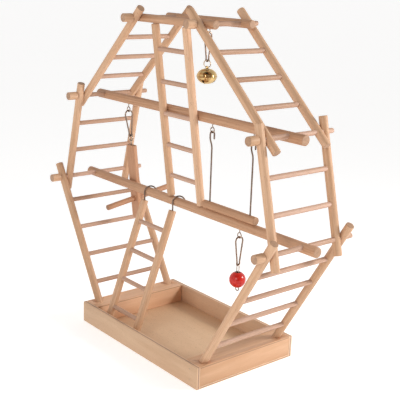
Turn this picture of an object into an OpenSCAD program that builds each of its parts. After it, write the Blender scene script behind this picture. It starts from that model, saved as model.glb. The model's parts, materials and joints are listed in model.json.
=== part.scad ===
// Wooden climbing playground for small cage birds: a tray, six round-rail ladders
// pinned into an arch, perches through the arch, a ladder pegged between two perches, a ladder that
// hooks over a perch, a swing and three hanging toys.
// Millimetres. Origin: centre of the tray's underside. X runs along the tray, -Y is the front, +Z is up.

/* [Tray] */
// Length of the tray along X
tray_l = 246; // [236:1:270]
// Depth of the tray along Y
tray_w = 155; // [150:1:170]
// Height of the tray
tray_h = 28; // [26:1:36]
// Thickness of the plywood front and back boards
board_t = 5; // [4:0.5:6]
// Width of the solid end blocks along X
block_w = 27; // [25:1:32]
// Thickness of the plywood floor panel
floor_t = 3; // [2:0.5:4]

/* [Arch] */
// Where the lower ladders' rails enter the end blocks, from the centre
foot_x = 112.4; // [110:0.1:116]
// Lower joint rods, from the centre
low_x = 206; // [200:1:212]
// Height of the lower joint rods
low_z = 184; // [180:1:188]
// Middle joint rods, from the centre
mid_x = 177.5; // [172:0.5:182]
// Height of the middle joint rods
mid_z = 301.5; // [296:0.5:306]
// Top joint rods on the right, from the centre
top_x = 57.5; // [52:0.5:62]
// How much further out the top joint rods on the left are
top_left_out = 7.5; // [0:0.5:8]
// Height of the top joint rods
top_z = 411; // [404:1:416]
// Y of the upper ladders' rails
upper_y = 38.4; // [38:0.1:40]
// Step in Y from one ladder's rails to the next ladder's
layer = 10.3; // [10.1:0.1:11]

/* [Dowels] */
// Diameter of every ladder rail
rail_d = 10; // [9:0.5:10]
// Diameter of rungs and joint rods
rung_d = 6; // [5:0.5:6]
// Spacing of the rungs
rung_pitch = 40; // [36:1:41]
// Diameter of the two long perches
perch_d = 12; // [11:0.5:12]
// Diameter of the two short perches at the top
top_perch_d = 10; // [9:0.5:10]
// Drop of the two long perches' axes below the joint rods that pass through them
perch_drop = 1.5; // [0:0.1:2]
// Bevel on the ends of dowels
edge = 0.5; // [0.2:0.1:0.8]
// Radial gap in glued sockets
glue_gap = 0.03; // [0.02:0.01:0.05]

/* [Swing] */
// Centre of the swing along the perch
swing_x = 84.5; // [84:0.5:90]
// Distance between the swing's two wires
swing_span = 72; // [60:1:74]
// Length of the swing's seat
seat_l = 92; // [84:1:92]
// Diameter of the swing's seat
seat_d = 10; // [8:0.5:10]
// Drop from the pivots to the seat's centre
seat_drop = 89.25; // [80:0.05:89.3]

/* [Hanging toys] */
// Wire of eyes, hooks and clips
wire_d = 1.9; // [1.4:0.1:1.9]
// Radius of a screw eye, to the middle of its wire
eye_r = 3.45; // [3.2:0.05:4]
// Drop from the underside of a perch to the centre of its screw eye
eye_drop = 7.3; // [6.5:0.1:8]
// Height of a pear-shaped spring clip, between wire centres
clip_h = 35.8; // [34:0.1:40]
// Width of the bell
bell_d = 26.5; // [20:0.5:27]
// Height of the bell's shell
bell_h = 19.6; // [16:0.2:21]
// Diameter of the bead
bead_d = 20; // [16:0.5:22]
// Width of the climbing block
block_toy_w = 17; // [12:0.5:20]
// Thickness of the climbing block
block_toy_t = 6; // [5:0.5:8]
// Length of the climbing block
block_toy_l = 106; // [90:1:112]
// Diameter of the dowel through the climbing block
cross_d = 7.5; // [6:0.5:8]
// Length of the dowel through the climbing block
cross_l = 108; // [80:1:112]

/* [Hidden] */
$fn = 48;

wood = "#e3c49a";
pale_wood = "#ead0a8";
plywood = "#dcbb8d";
steel = "#8a8782";
brass = "#d3a13b";
red = "#c4161c";

left = -1;
right = 1;
front = -1;
back = 1;

// Facets of round wire and of its bends, how much a bend swells, and how far cuts run past a face
wire_sides = 20;
bend_sides = 24;
bend_swell = 1.04;
past = 1;

// Sockets and tenons
socket_past_axis = 1;
rod_cap_l = 13;
rod_cap_d = 10.5;
rod_in_cap = 10;
rod_proud = [10, 8, 8];
foot_in_block = 13;

// Arch joints as [x, z], and the Y of each ladder's rails
foot_at = [foot_x, tray_h];
low_at = [low_x, low_z];
mid_at = [mid_x, mid_z];
function top_at(side) = [top_x + (side == left ? top_left_out : 0), top_z];
mid_y = upper_y + layer;
low_y = mid_y + layer;
lower_rungs_from_foot = 27;
lower_tip = 20;
middle_lower_tip = 19;
middle_tip = 17.5;
upper_lower_tip = 19.5;
upper_left_tip = 17.5;
upper_right_tip = 21.5;

// Perches
high_perch_y = -4;
high_perch_z = mid_z - perch_drop;
high_perch_x = 1.5;
high_perch_l = 396;
low_perch_y = -1.5;
low_perch_z = low_z - perch_drop;
low_perch_l = 450;
top_perch_y = 28;
top_front_perch_x = -2;
top_front_perch_l = 156;
top_back_perch_x = -5;
top_back_perch_l = 160;

// Middle ladder: pegged under the top front perch and into the top of the low perch
hang_half = 30;
hang_top_x = -8;
hang_bottom = [low_perch_y, low_perch_z];
hang_top = [-top_perch_y, top_z];
hang_margin = 30;
hang_gap = 0.6;
hang_l = norm(hang_bottom - hang_top);
hang_rail_top = top_perch_d / 2 + hang_gap;
hang_rail_bottom = hang_l - perch_d / 2 - hang_gap;
hang_peg_in_perch = 4;
hang_peg_in_rail = 6;
hang_peg_d = 5;
hang_rungs = 5;

// Loose ladder: stands on the floor panel against the front board, hooked over the low perch
loose_x = -49.5;
loose_half = 30.5;
loose_lean = 19.5;
loose_margin = 28.5;
loose_rungs = 4;
loose_l = 2 * loose_margin + (loose_rungs - 1) * rung_pitch;
loose_clear = 0.3;
loose_above_floor = 0.05;
loose_foot = [-tray_w / 2 + board_t + rail_d / 2 * cos(loose_lean) + loose_clear,
    floor_t + rail_d / 2 * sin(loose_lean) + loose_above_floor];
loose_top = loose_foot + loose_l * [sin(loose_lean), cos(loose_lean)];
hook_r = 8.2;
hook_yaw = 28;
hook_tail = 30;
hook_in_rail = 12;
hook_stub = 1;

// Screw eyes: [x, y, height of the perch's underside]
eye_thread = 6;
swing_eyes = [for (s = [left, right])
    [swing_x + s * swing_span / 2, high_perch_y, high_perch_z - perch_d / 2]];
block_at = [-126, high_perch_y, high_perch_z - perch_d / 2];
bell_at = [-3.5, top_perch_y, top_z - top_perch_d / 2];
bead_at = [101.5, low_perch_y, low_perch_z - perch_d / 2];
pivot_drop = eye_drop + eye_r;
link_gap = 0.05;
link = wire_d + link_gap;

// The climbing block leans on the back of the low perch
block_pivot = block_at - [0, 0, pivot_drop];
perch_off = [low_perch_y - block_pivot.y, low_perch_z - block_pivot.z];
block_gap = 0.15;
block_touch = perch_d / 2 + block_toy_t / 2 + block_gap;
block_lean = asin(block_touch / norm(perch_off)) + atan(perch_off[0] / -perch_off[1]);
block_eye_r = 4;
block_below_clip = 12;
block_top = clip_h - link + block_below_clip;
cross_down = 76.5;
cross_shift = 5.8;
cross_tilt = 2.5;

// Clip outline: a round top, two legs that meet at a neck, and a small bottom loop
clip_top_r = 5.6;
clip_loop_r = 2.3;
clip_neck = 1.9;

// Swing
swing_z = high_perch_z - perch_d / 2 - pivot_drop;
swing_hook_r = 3.2;
swing_tail = 6;
swing_wire_straight = 14;
wire_in_seat = 4;

// Bell
bell_t = 0.7;
bell_ring_r = 4.6;
bell_ring_d = 1.3;
bell_yaw = 25;
bell_loop_r = 2.2;
bell_loop_d = 1.5;
bell_loop_tail = 15;
bell_below_clip = 18.3;
bell_down = clip_h - link + bell_below_clip;
bell_ring_z = link - clip_h + bell_ring_d / 2 + wire_d / 2 + link_gap - bell_ring_r;
bell_loop_z = bell_ring_z - bell_ring_r + bell_ring_d / 2 + bell_loop_d / 2 + link_gap - bell_loop_r;
bell_rim = 0.5;
bell_slot = 1.2;
bell_slot_top = bell_h * 0.28;
bell_hole_d = 3;
pellet_d = 6.5;
arc_steps = 14;

// Bead
bead_bore = 6;
bead_wire_d = 1.3;
bead_leg = 1.9;
bead_stop_r = 2.8;
bead_below_clip = 17.9;
bead_down = clip_h - link + bead_below_clip;
bead_mouth = sqrt(pow(bead_d / 2, 2) - pow(bead_bore / 2, 2));
bead_stop_out = bead_stop_r + bead_wire_d / 2;
bead_stop_drop = sqrt(pow(bead_stop_out, 2) - pow(bead_bore / 2, 2)) + link_gap;

// Brads that nail the boards and the floor panel to the end blocks
brad_d = 1.4;
brad_l = 12;
brad_heights = [9, 22];
floor_brad_rows = [-45, 0, 45];
floor_brad_inset = 8;

// Ladder lengths and rung positions, measured along the rails
lower_l = norm(low_at - foot_at);
middle_l = norm(mid_at - low_at);
function upper_l(side) = norm(top_at(side) - mid_at);
lower_rungs = [for (i = [0 : 3]) lower_rungs_from_foot + i * rung_pitch];
middle_rungs = [for (i = [1 : 2]) i * rung_pitch];
upper_rungs = [for (i = [1 : 3]) i * rung_pitch];

// [left joint, right joint, outer face of the outermost rail, how far the rod stands out at the back]
rod_low = [low_at, low_at, low_y + rail_d / 2, rod_proud[0]];
rod_mid = [mid_at, mid_at, mid_y + rail_d / 2, rod_proud[1]];
rod_top = [top_at(left), top_at(right), upper_y + rail_d / 2, rod_proud[2]];

// ---- Helpers -----------------------------------------------------------------------------------

// Children drawn along +Z are laid from point p towards point q
module along(p, q) {
    v = q - p;
    translate(p) rotate([0, acos(v.z / norm(v)), atan2(v.y, v.x)]) children();
}

// Plain round bar between two points
module bar(p, q, d) {
    along(p, q) cylinder(h = norm(q - p), d = d);
}

// Wooden dowel with bevelled ends between two points
module dowel(p, q, d) {
    l = norm(q - p);
    r = d / 2;
    along(p, q) rotate_extrude()
        polygon([[0, 0], [r - edge, 0], [r, edge], [r, l - edge], [r - edge, l], [0, l]]);
}

// Round bar along Y, centred on y = 0 unless a start is given
module y_bar(x, z, y0, y1, d) {
    translate([x, y1, z]) rotate([90, 0, 0]) cylinder(h = y1 - y0, d = d);
}

// Arc of round wire in the XY plane
module wire_arc(r, a0, a1, d) {
    rotate([0, 0, a0]) rotate_extrude(angle = a1 - a0) translate([r, 0]) circle(d = d, $fn = wire_sides);
}

// Closed ring of round wire standing in the XZ plane
module wire_ring(r, d) {
    rotate([90, 0, 0]) rotate_extrude() translate([r, 0]) circle(d = d, $fn = wire_sides);
}

// Wire through a list of points, with rounded corners
module wire_path(points, d) {
    for (i = [0 : len(points) - 2]) bar(points[i], points[i + 1], d);
    for (i = [1 : len(points) - 2]) wire_joint(points[i], d);
}

// Rounded corner where two wires meet
module wire_joint(p, d) {
    translate(p) sphere(d = d * bend_swell, $fn = bend_sides);
}

// Point at distance s along the line from a to b
function on_line(a, b, s) = a + (b - a) * (s / norm(b - a));
// [x, z] on one side of the arch, at a given y
function place(side, xz, y) = [side * xz[0], y, xz[1]];

// ---- Tray --------------------------------------------------------------------------------------

module tray_board(side) {
    y0 = side == front ? -tray_w / 2 : tray_w / 2 - board_t;
    difference() {
        translate([-tray_l / 2, y0, 0]) cube([tray_l, board_t, tray_h]);
        board_brads(side, brad_d + 2 * glue_gap);
    }
}

module end_block(side) {
    x0 = side == left ? -tray_l / 2 : tray_l / 2 - block_w;
    difference() {
        translate([x0, -tray_w / 2 + board_t, floor_t])
            cube([block_w, tray_w - 2 * board_t, tray_h - floor_t]);
        for (y = [-low_y, low_y]) lower_rail_core(side, y, rail_d + 2 * glue_gap);
        for (s = [front, back]) board_brads(s, brad_d + 2 * glue_gap);
        floor_brads(brad_d + 2 * glue_gap);
    }
}

module board_brads(side, d) {
    y_out = tray_w / 2 * side;
    y_in = (tray_w / 2 - brad_l) * side;
    for (x = [left, right] * (tray_l / 2 - block_w / 2), z = brad_heights)
        y_bar(x, z, min(y_out, y_in), max(y_out, y_in), d);
}

module floor_brads(d) {
    for (x = [left, right] * (tray_l / 2 - floor_brad_inset), y = floor_brad_rows)
        translate([x, y, 0]) cylinder(h = brad_l, d = d);
}

module floor_panel() {
    color(plywood) difference() {
        translate([-tray_l / 2, -tray_w / 2 + board_t, 0]) cube([tray_l, tray_w - 2 * board_t, floor_t]);
        floor_brads(brad_d + 2 * glue_gap);
    }
}

module front_board() {
    color(plywood) tray_board(front);
}

module back_board() {
    color(plywood) tray_board(back);
}

module left_end_block() {
    color(pale_wood) end_block(left);
}

module right_end_block() {
    color(pale_wood) end_block(right);
}

module brads() {
    color(steel) {
        board_brads(front, brad_d);
        board_brads(back, brad_d);
        floor_brads(brad_d);
    }
}

// ---- Arch ladders ------------------------------------------------------------------------------

// One rail from s0 to s1 along the line a-b, with blind rung sockets and through holes for the rods
module rail(side, a, b, y, s0, s1, rungs, rods) {
    difference() {
        dowel(place(side, on_line(a, b, s0), y), place(side, on_line(a, b, s1), y), rail_d);
        rung_set(side, a, b, abs(y), rungs, 2 * glue_gap);
        for (s = rods) {
            p = on_line(a, b, s);
            y_bar(side * p[0], p[1], y - rail_d, y + rail_d, rung_d + 2 * glue_gap);
        }
    }
}

// Rungs between the two rails of one ladder, ending just past the rails' axes
module rung_set(side, a, b, rail_y, rungs, grow = 0) {
    half = rail_y + socket_past_axis + grow / 2;
    for (s = rungs) {
        p = on_line(a, b, s);
        y_bar(side * p[0], p[1], -half, half, rung_d + grow);
    }
}

// Plain core of a lower rail where it stands in its block
module lower_rail_core(side, y, d) {
    bar(place(side, on_line(foot_at, low_at, -foot_in_block), y), place(side, low_at, y), d);
}

module lower_rail(side, face) {
    color(wood) rail(side, foot_at, low_at, face * low_y, -foot_in_block, lower_l + lower_tip,
        lower_rungs, [lower_l]);
}

module middle_rail(side, face) {
    color(wood) rail(side, low_at, mid_at, face * mid_y, -middle_lower_tip, middle_l + middle_tip,
        middle_rungs, [0, middle_l]);
}

module upper_rail(side, face) {
    l = upper_l(side);
    tip = side == left ? upper_left_tip : upper_right_tip;
    color(wood) rail(side, mid_at, top_at(side), face * upper_y, -upper_lower_tip, l + tip,
        upper_rungs, [0, l]);
}

module lower_rungs_of(side) {
    color(pale_wood) rung_set(side, foot_at, low_at, low_y, lower_rungs);
}

module middle_rungs_of(side) {
    color(pale_wood) rung_set(side, low_at, mid_at, mid_y, middle_rungs);
}

module upper_rungs_of(side) {
    color(pale_wood) rung_set(side, mid_at, top_at(side), upper_y, upper_rungs);
}

// ---- Joint rods and perches --------------------------------------------------------------------

// [x, z] of a rod on one side of the arch
function rod_at(rod, side) = rod[side == left ? 0 : 1];

// Both rods of one level, left and right
module rod_pair(rod, d = rung_d) {
    for (side = [left, right]) {
        xz = rod_at(rod, side);
        y_bar(side * xz[0], xz[1], -rod[2] - glue_gap - rod_in_cap, rod[2] + rod[3], d);
    }
}

module low_joint_rods() {
    color(pale_wood) rod_pair(rod_low);
}

module middle_joint_rods() {
    color(pale_wood) rod_pair(rod_mid);
}

module top_joint_rods() {
    color(pale_wood) rod_pair(rod_top);
}

module rod_end_caps() {
    color(wood) for (rod = [rod_low, rod_mid, rod_top], side = [left, right]) {
        xz = rod_at(rod, side);
        p = [side * xz[0], -rod[2] - 2 * glue_gap, xz[1]];
        difference() {
            dowel(p - [0, rod_cap_l, 0], p, rod_cap_d);
            y_bar(p.x, p.z, p.y - rod_in_cap, p.y + past, rung_d + 2 * glue_gap);
        }
    }
}

module perch(x, y, z, l, d) {
    dowel([x - l / 2, y, z], [x + l / 2, y, z], d);
}

module low_perch() {
    color(wood) difference() {
        perch(0, low_perch_y, low_perch_z, low_perch_l, perch_d);
        rod_pair(rod_low, rung_d + 2 * glue_gap);
        eye_hole(bead_at);
        for (side = [left, right]) hang_foot_peg(side, 2 * glue_gap);
    }
}

module high_perch() {
    color(wood) difference() {
        perch(high_perch_x, high_perch_y, high_perch_z, high_perch_l, perch_d);
        rod_pair(rod_mid, rung_d + 2 * glue_gap);
        for (p = swing_eyes) eye_hole(p);
        eye_hole(block_at);
    }
}

module top_front_perch() {
    color(wood) difference() {
        perch(top_front_perch_x, -top_perch_y, top_z, top_front_perch_l, top_perch_d);
        rod_pair(rod_top, rung_d + 2 * glue_gap);
        for (side = [left, right]) hang_top_peg(side, 2 * glue_gap);
    }
}

module top_back_perch() {
    color(wood) difference() {
        perch(top_back_perch_x, top_perch_y, top_z, top_back_perch_l, top_perch_d);
        rod_pair(rod_top, rung_d + 2 * glue_gap);
        eye_hole(bell_at);
    }
}

// ---- Middle ladder between the top front perch and the low perch --------------------------------

// Point at distance s down a rail's line from the top perch's axis
function hang_at(side, s) = let (p = on_line(hang_top, hang_bottom, s))
    [side * hang_half + hang_top_x * (1 - s / hang_l), p[0], p[1]];

// Peg that stands out of a rail's top end into the top perch
module hang_top_peg(side, grow = 0) {
    bar(hang_at(side, top_perch_d / 2 - hang_peg_in_perch), hang_at(side, hang_rail_top + hang_peg_in_rail),
        hang_peg_d + grow);
}

// Peg that stands out of a rail's bottom end into the low perch
module hang_foot_peg(side, grow = 0) {
    bar(hang_at(side, hang_rail_bottom - hang_peg_in_rail),
        hang_at(side, hang_l - perch_d / 2 + hang_peg_in_perch), hang_peg_d + grow);
}

module hang_rung_bars(grow = 0) {
    half = hang_half + socket_past_axis + grow / 2;
    for (i = [0 : hang_rungs - 1]) {
        s = hang_rail_top + hang_margin + i * rung_pitch;
        mid = (hang_at(left, s) + hang_at(right, s)) / 2;
        bar(mid - [half, 0, 0], mid + [half, 0, 0], rung_d + grow);
    }
}

module hanging_rail(side) {
    color(wood) difference() {
        union() {
            dowel(hang_at(side, hang_rail_top), hang_at(side, hang_rail_bottom), rail_d);
            hang_top_peg(side);
            hang_foot_peg(side);
        }
        hang_rung_bars(2 * glue_gap);
    }
}

module hanging_ladder_left_rail() {
    hanging_rail(left);
}

module hanging_ladder_right_rail() {
    hanging_rail(right);
}

module hanging_ladder_rungs() {
    color(pale_wood) hang_rung_bars();
}

// ---- Loose ladder ------------------------------------------------------------------------------

function loose_at(side, s) =
    let (p = on_line(loose_top, loose_foot, s)) [loose_x + side * loose_half, p[0], p[1]];

module loose_rung_bars(grow = 0) {
    half = loose_half + socket_past_axis + grow / 2;
    for (i = [0 : loose_rungs - 1]) {
        p = on_line(loose_top, loose_foot, loose_margin + i * rung_pitch);
        bar([loose_x - half, p[0], p[1]], [loose_x + half, p[0], p[1]], rung_d + grow);
    }
}

module loose_rail(side) {
    color(wood) difference() {
        dowel(loose_at(side, 0), loose_at(side, loose_l), rail_d);
        loose_rung_bars(2 * glue_gap);
        bar(loose_at(side, hook_in_rail), loose_at(side, -edge), wire_d + 2 * glue_gap);
    }
}

module loose_ladder_left_rail() {
    loose_rail(left);
}

module loose_ladder_right_rail() {
    loose_rail(right);
}

module loose_ladder_rungs() {
    color(pale_wood) loose_rung_bars();
}

// A hook's own plane: u runs level across the perch, turned by hook_yaw, and the arc stands on it
function hook_point(side, u, z) =
    [loose_x + side * loose_half + (u + hook_r) * sin(hook_yaw),
     low_perch_y + u * cos(hook_yaw), z];

module loose_ladder_hooks() {
    color(steel) for (side = [left, right]) {
        start = hook_point(side, -hook_r, low_perch_z);
        wire_path([loose_at(side, hook_in_rail), loose_at(side, -hook_stub), start], wire_d);
        wire_joint(start, wire_d);
        translate(hook_point(side, 0, low_perch_z)) rotate([0, 0, 90 - hook_yaw]) rotate([90, 0, 0])
            wire_arc(hook_r, -hook_tail, 180, wire_d);
    }
}

// ---- Screw eyes, swing -------------------------------------------------------------------------

module eye_hole(p) {
    translate(p - [0, 0, past]) cylinder(h = eye_thread + past + glue_gap, d = wire_d + 2 * glue_gap);
}

module screw_eye(p) {
    centre = p - [0, 0, eye_drop];
    translate(centre) wire_ring(eye_r, wire_d);
    bar(centre + [0, 0, eye_r], p + [0, 0, eye_thread], wire_d);
}

module screw_eyes() {
    color(steel) {
        for (p = swing_eyes) screw_eye(p);
        screw_eye(block_at);
        screw_eye(bell_at);
        screw_eye(bead_at);
    }
}

module swing_seat() {
    color(wood) difference() {
        dowel([swing_x - seat_l / 2, high_perch_y, swing_z - seat_drop],
              [swing_x + seat_l / 2, high_perch_y, swing_z - seat_drop], seat_d);
        for (p = swing_eyes) bar([p.x, p.y, swing_z - seat_drop + seat_d / 2 - wire_in_seat],
            [p.x, p.y, swing_z - seat_drop + seat_d], wire_d + 2 * glue_gap);
    }
}

// Open hook over the eye, a short kink back under the pivot, and a straight drop into the seat
module swing_wire(p) {
    hook_z = swing_z + link - swing_hook_r;
    seat_z = swing_z - seat_drop + seat_d / 2 - wire_in_seat;
    translate([p.x, p.y, hook_z]) rotate([90, 0, 90]) wire_arc(swing_hook_r, 0, 180, wire_d);
    bar([p.x, p.y + swing_hook_r, hook_z - swing_tail], [p.x, p.y + swing_hook_r, hook_z], wire_d);
    wire_path([[p.x, p.y - swing_hook_r, hook_z], [p.x, p.y - swing_hook_r, hook_z - swing_tail],
        [p.x, p.y, hook_z - swing_wire_straight], [p.x, p.y, seat_z]], wire_d);
}

module swing_wires() {
    color(steel) for (p = swing_eyes) swing_wire(p);
}

// ---- Pear-shaped spring clip -------------------------------------------------------------------

// Drawn in the YZ plane, hanging from the origin
module clip() {
    top = link;
    loop_z = top - clip_h + clip_loop_r;
    neck = [clip_neck, loop_z + sqrt(clip_loop_r * clip_loop_r - clip_neck * clip_neck)];
    centre_z = top - clip_top_r;
    reach = [neck[0], neck[1] - centre_z];
    a = atan2(reach[1], reach[0]) + acos(clip_top_r / norm(reach));
    shoulder = [clip_top_r * cos(a), centre_z + clip_top_r * sin(a)];
    neck_a = acos(clip_neck / clip_loop_r);
    translate([0, 0, centre_z]) rotate([90, 0, 90]) wire_arc(clip_top_r, a, 180 - a, wire_d);
    translate([0, 0, loop_z]) rotate([90, 0, 90]) wire_arc(clip_loop_r, 180 - neck_a, 360 + neck_a, wire_d);
    for (s = [left, right]) {
        bar([0, s * shoulder[0], shoulder[1]], [0, s * neck[0], neck[1]], wire_d);
        wire_joint([0, s * shoulder[0], shoulder[1]], wire_d);
        wire_joint([0, s * neck[0], neck[1]], wire_d);
    }
}

function pivot_of(p) = p - [0, 0, pivot_drop];

// ---- Climbing block ----------------------------------------------------------------------------

module block_frame() {
    translate(block_pivot) rotate([block_lean, 0, 0]) children();
}

module block_clip() {
    color(steel) block_frame() clip();
}

module block_eye() {
    eye_z = -clip_h + 2 * link - block_eye_r;
    color(steel) block_frame() {
        translate([0, 0, eye_z]) wire_ring(block_eye_r, wire_d);
        bar([0, 0, -block_top - eye_thread], [0, 0, eye_z - block_eye_r], wire_d);
    }
}

// The dowel's own frame: its hole is drilled a little askew through the block
module cross_frame() {
    translate([0, 0, -block_top - cross_down]) rotate([cross_tilt, 0, 0]) children();
}

module climbing_block() {
    color(wood) block_frame() difference() {
        translate([-block_toy_w / 2, -block_toy_t / 2, -block_top - block_toy_l])
            cube([block_toy_w, block_toy_t, block_toy_l]);
        cross_frame() y_bar(0, 0, -block_toy_t, block_toy_t, cross_d + 2 * glue_gap);
        bar([0, 0, -block_top - eye_thread - glue_gap], [0, 0, -block_top + past], wire_d + 2 * glue_gap);
    }
}

module block_cross_dowel() {
    color(pale_wood) block_frame() cross_frame()
        dowel([0, cross_shift - cross_l / 2, 0], [0, cross_shift + cross_l / 2, 0], cross_d);
}

// ---- Bell --------------------------------------------------------------------------------------

module bell_frame() {
    translate(pivot_of(bell_at)) children();
}

module bell_clip() {
    color(steel) bell_frame() clip();
}

module bell_ring() {
    color(steel) bell_frame() translate([0, 0, bell_ring_z]) rotate([0, 0, bell_yaw])
        wire_ring(bell_ring_r, bell_ring_d);
}

module bell_loop() {
    color(brass) bell_frame() translate([0, 0, bell_loop_z])
        rotate([0, 0, bell_yaw + 90]) rotate([90, 0, 0])
            wire_arc(bell_loop_r, -bell_loop_tail, 180 + bell_loop_tail, bell_loop_d);
}

// Half-section of the dome between the rim and the pole, as [radius, height]
function dome(r, h) = [for (i = [0 : arc_steps]) [r * cos(90 * i / arc_steps), h * sin(90 * i / arc_steps)]];
function reversed(p) = [for (i = [len(p) - 1 : -1 : 0]) p[i]];

module bell_shell() {
    r = bell_d / 2 - bell_rim;
    h = bell_h / 2;
    outer = dome(r, h);
    inner = dome(r - bell_t, h - bell_t);
    rotate_extrude() union() {
        polygon(concat(outer, reversed(inner)));
        translate([r - bell_t, 0]) square([bell_t + bell_rim, bell_rim]);
    }
}

module bell_upper_shell() {
    color(brass) bell_frame() translate([0, 0, -bell_down + link_gap / 2]) bell_shell();
}

module bell_lower_shell() {
    color(brass) bell_frame() translate([0, 0, -bell_down - link_gap / 2]) rotate([0, 0, bell_yaw])
        difference() {
            mirror([0, 0, 1]) bell_shell();
            for (a = [0, 90]) rotate([0, 0, a]) {
                translate([-bell_d, -bell_slot / 2, -bell_h])
                    cube([2 * bell_d, bell_slot, bell_h - bell_slot_top]);
                y_bar(0, -bell_slot_top, -bell_d, bell_d, bell_hole_d);
            }
        }
}

module bell_pellet() {
    color(steel) bell_frame()
        translate([0, 0, -bell_down - bell_h / 2 + bell_t + pellet_d / 2 + 2 * link_gap])
            sphere(d = pellet_d);
}

// ---- Bead --------------------------------------------------------------------------------------

module bead_frame() {
    translate(pivot_of(bead_at)) children();
}

module bead_clip() {
    color(steel) bead_frame() clip();
}

// A long loop of wire whose two legs pass down through the bead and open into a stop below it
module bead_wire() {
    top_z = link - clip_h + bead_wire_d / 2 + wire_d / 2 + link_gap - bead_leg;
    stop_z = -bead_down - bead_mouth - bead_stop_drop;
    stop_a = acos(bead_leg / bead_stop_r);
    shoulder_z = stop_z + bead_stop_r * sin(stop_a);
    color(steel) bead_frame() {
        translate([0, 0, top_z]) rotate([90, 0, 0]) wire_arc(bead_leg, 0, 180, bead_wire_d);
        translate([0, 0, stop_z]) rotate([90, 0, 0])
            wire_arc(bead_stop_r, 180 - stop_a, 360 + stop_a, bead_wire_d);
        for (x = [-bead_leg, bead_leg]) {
            bar([x, 0, shoulder_z], [x, 0, top_z], bead_wire_d);
            wire_joint([x, 0, shoulder_z], bead_wire_d);
        }
    }
}

module bead() {
    color(red) bead_frame() translate([0, 0, -bead_down]) difference() {
        sphere(d = bead_d);
        translate([0, 0, -bead_d]) cylinder(h = 2 * bead_d, d = bead_bore);
    }
}

// ---- Nodes -------------------------------------------------------------------------------------

floor_panel();
front_board();
back_board();
left_end_block();
right_end_block();
brads();
lower_rail(left, front);  // lower_left_front_rail
lower_rail(left, back);  // lower_left_back_rail
lower_rungs_of(left);  // lower_left_rungs
lower_rail(right, front);  // lower_right_front_rail
lower_rail(right, back);  // lower_right_back_rail
lower_rungs_of(right);  // lower_right_rungs
middle_rail(left, front);  // middle_left_front_rail
middle_rail(left, back);  // middle_left_back_rail
middle_rungs_of(left);  // middle_left_rungs
middle_rail(right, front);  // middle_right_front_rail
middle_rail(right, back);  // middle_right_back_rail
middle_rungs_of(right);  // middle_right_rungs
upper_rail(left, front);  // upper_left_front_rail
upper_rail(left, back);  // upper_left_back_rail
upper_rungs_of(left);  // upper_left_rungs
upper_rail(right, front);  // upper_right_front_rail
upper_rail(right, back);  // upper_right_back_rail
upper_rungs_of(right);  // upper_right_rungs
low_joint_rods();
middle_joint_rods();
top_joint_rods();
rod_end_caps();
low_perch();
high_perch();
top_front_perch();
top_back_perch();
hanging_ladder_left_rail();
hanging_ladder_right_rail();
hanging_ladder_rungs();
loose_ladder_left_rail();
loose_ladder_right_rail();
loose_ladder_rungs();
loose_ladder_hooks();
screw_eyes();
swing_seat();
swing_wires();
block_clip();
block_eye();
climbing_block();
block_cross_dowel();
bell_clip();
bell_ring();
bell_loop();
bell_upper_shell();
bell_lower_shell();
bell_pellet();
bead_clip();
bead_wire();
bead();
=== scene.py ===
"""The looks of the wooden bird play stand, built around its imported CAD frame. Everything is in metres."""

import json
import math
import random

import bmesh
import bpy
import numpy as np
from mathutils import Matrix, Vector

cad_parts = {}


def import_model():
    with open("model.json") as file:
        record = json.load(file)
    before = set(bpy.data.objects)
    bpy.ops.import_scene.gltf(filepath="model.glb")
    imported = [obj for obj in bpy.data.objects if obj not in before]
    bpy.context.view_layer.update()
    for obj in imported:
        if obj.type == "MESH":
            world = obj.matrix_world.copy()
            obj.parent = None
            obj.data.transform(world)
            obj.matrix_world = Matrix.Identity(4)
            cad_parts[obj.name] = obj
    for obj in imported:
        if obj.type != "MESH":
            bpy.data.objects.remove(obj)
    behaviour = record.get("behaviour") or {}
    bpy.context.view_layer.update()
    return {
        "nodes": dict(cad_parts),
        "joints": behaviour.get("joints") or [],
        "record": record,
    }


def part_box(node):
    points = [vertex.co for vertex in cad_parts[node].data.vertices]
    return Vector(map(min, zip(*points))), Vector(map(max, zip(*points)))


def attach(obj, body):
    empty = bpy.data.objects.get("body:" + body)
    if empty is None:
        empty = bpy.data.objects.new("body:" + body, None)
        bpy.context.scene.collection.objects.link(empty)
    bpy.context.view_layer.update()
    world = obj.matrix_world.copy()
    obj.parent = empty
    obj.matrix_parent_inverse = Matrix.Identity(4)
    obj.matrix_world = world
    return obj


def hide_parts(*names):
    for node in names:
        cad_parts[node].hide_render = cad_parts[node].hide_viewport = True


MM = 0.001
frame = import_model()
behaviour = frame["record"]["behaviour"]
body_of_node = {node: body for body, nodes in behaviour["bodies"].items() for node in nodes}
joint = {item["name"]: item for item in frame["joints"]}

# ---- Sizes that the frame doesn't say -------------------------------------------------------------

GLUE_GAP = 0.03 * MM
PEG_R = 2.5 * MM
PEG_OVERLAP = 1 * MM
SHORTEST_PEG = 1 * MM
DOWEL_EASE = 0.8 * MM
RUNG_EASE = 0.3 * MM
BOARD_EASE = 0.5 * MM
PANEL_EASE = 0.25 * MM
BLOCK_EASE = 0.9 * MM
DOWEL_SIDES = 56
WIRE_SIDES = 14
TURNED_SIDES = 72

# Points closer than this, in metres, are one point
WELD_FRAME = 1e-6
WELD_PIECE = 1e-7

# An edge that turns by more degrees than this stays sharp
WOOD_SHARP = 35
BRASS_SHARP = 50
WIRE_SHARP = 60

X, Y, Z = Vector((1, 0, 0)), Vector((0, 1, 0)), Vector((0, 0, 1))
SIDES = ("left", "right")
JOINT_RODS = ["low_joint_rods", "middle_joint_rods", "top_joint_rods"]
RODS_OF = {"lower": JOINT_RODS[:1], "middle": JOINT_RODS[:2], "upper": JOINT_RODS[1:]}


# ---- Reading the frame ----------------------------------------------------------------------------


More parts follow.
